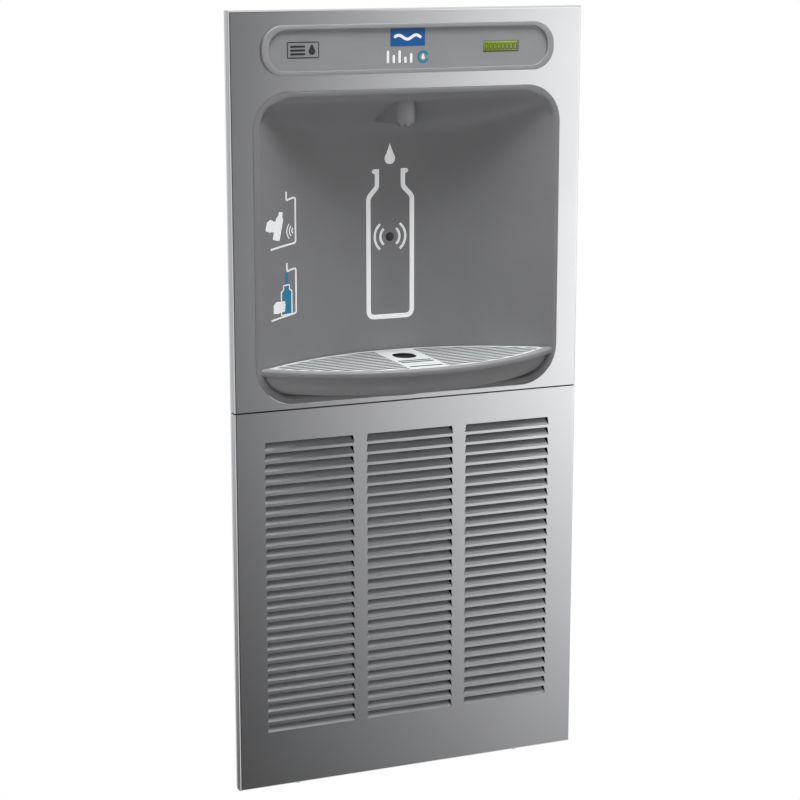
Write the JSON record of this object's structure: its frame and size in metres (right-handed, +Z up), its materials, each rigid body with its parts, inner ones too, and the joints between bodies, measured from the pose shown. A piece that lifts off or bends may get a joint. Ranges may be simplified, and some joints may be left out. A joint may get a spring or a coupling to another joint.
{
  "type": "in-wall bottle filling station",
  "caption": "Wall-recessed bottle filling station: steel face with a moulded alcove, spout, sensor and drip grate over a louvred access panel and a water chiller.",
  "frame": {"origin": "centre of the wall opening, on the wall's finished face", "axes": "+X to the right along the wall, +Y into the wall, +Z up"},
  "size_m": [0.4572, 0.322, 0.959],
  "materials": {
    "panel_steel": "brushed along the width, satin",
    "grate_steel": "fine brushed, satin",
    "strainer_steel": "plain stainless",
    "galvanised_steel": "galvanised sheet, dull spangle",
    "motor_steel": "laminated steel, dull",
    "compressor_black": "black enamel, satin",
    "fin_aluminium": "mill finish",
    "copper_tube": "drawn copper, satin",
    "brass": "machined",
    "nozzle_chrome": "polished",
    "alcove_plastic": "moulded, fine matte grain",
    "bezel_plastic": "moulded, satin",
    "label_film": "printed film, satin",
    "counter_window": "clear over a yellow-green display",
    "circuit_board": "solder mask",
    "dark_plastic": "moulded, satin",
    "pale_plastic": "moulded, satin",
    "filter_blue": "moulded, gloss",
    "mount_rubber": "moulded rubber",
    "jacket_foam": "closed-cell foam",
    "water_tube": "extruded, translucent blue",
    "wire_black": "sleeved wires"
  },
  "bodies": {
    "station": {"upper_panel": "panel_steel", "header_bezel": "bezel_plastic", "header_label": "label_film", "lcd_window": "counter_window", "lcd_module": "circuit_board", "alcove_shell": "alcove_plastic", "spout_housing": "alcove_plastic", "spout_nozzle": "nozzle_chrome", "sensor_lens": "dark_plastic", "sensor_module": "circuit_board", "basin_bowl": "alcove_plastic", "drain_strainer": "strainer_steel", "drain_nut": "pale_plastic", "waste_pipe": "pale_plastic", "frame_left": "galvanised_steel", "frame_right": "galvanised_steel", "frame_top": "galvanised_steel", "frame_bottom": "galvanised_steel", "back_straps": "galvanised_steel", "service_plate": "galvanised_steel", "seam_brackets": "galvanised_steel", "hanger_hooks": "galvanised_steel", "access_forks": "galvanised_steel", "chiller_base": "galvanised_steel", "compressor_lower_shell": "compressor_black", "compressor_upper_shell": "compressor_black", "compressor_pump": "motor_steel", "compressor_mounts": "mount_rubber", "terminal_cover": "dark_plastic", "condenser_coil": "copper_tube", "condenser_fins": "fin_aluminium", "fan_shroud": "dark_plastic", "fan_motor": "motor_steel", "fan_bracket": "galvanised_steel", "tank_shelf": "galvanised_steel", "evaporator_tank": "strainer_steel", "evaporator_coil": "copper_tube", "foam_jacket": "jacket_foam", "filter_drier": "copper_tube", "discharge_line": "copper_tube", "suction_line": "copper_tube", "capillary_tube": "copper_tube", "thermostat_body": "pale_plastic", "inlet_fitting": "brass", "filter_bracket": "galvanised_steel", "filter_head": "pale_plastic", "valve_body": "pale_plastic", "valve_coil": "dark_plastic", "plunger_spring": "strainer_steel", "water_tubes": "water_tube", "control_box": "galvanised_steel", "control_board": "circuit_board", "wire_harness": "wire_black"},
    "access_panel": {"lower_panel": "panel_steel", "access_screws": "strainer_steel"},
    "grate": {"drip_grate": "grate_steel"},
    "fan": {"fan_blade": "fin_aluminium"},
    "filter": {"filter_cartridge": "filter_blue"},
    "plunger": {"valve_plunger": "strainer_steel"},
    "thermostat_dial": {"thermostat_knob": "dark_plastic"}
  },
  "joints": [
    {"name": "access_panel_slide", "type": "slide", "parent": "station", "child": "access_panel", "axis": [0, -1, 0], "range_m": [0, 0.15]},
    {"name": "grate_lift", "type": "slide", "parent": "station", "child": "grate", "axis": [0, 0, 1], "range_m": [0, 0.08]},
    {"name": "fan_spin", "type": "hinge", "parent": "station", "child": "fan", "pos_m": [0.098, 0.073, -0.363], "axis": [0, 1, 0], "continuous": true},
    {"name": "filter_twist", "type": "hinge", "parent": "station", "child": "filter", "pos_m": [-0.128, 0.074, -0.1], "axis": [0, 0, 1], "range_deg": [0, 90]},
    {"name": "plunger_lift", "type": "slide", "parent": "station", "child": "plunger", "axis": [0, 0, 1], "range_m": [0, 0.003], "stiffness_N_per_m": 200, "springref_m": -0.005, "deforming": ["plunger_spring"]},
    {"name": "thermostat_turn", "type": "hinge", "parent": "station", "child": "thermostat_dial", "pos_m": [0.104, 0.018, -0.1762], "axis": [0, 1, 0], "range_deg": [0, 270]}
  ]
}
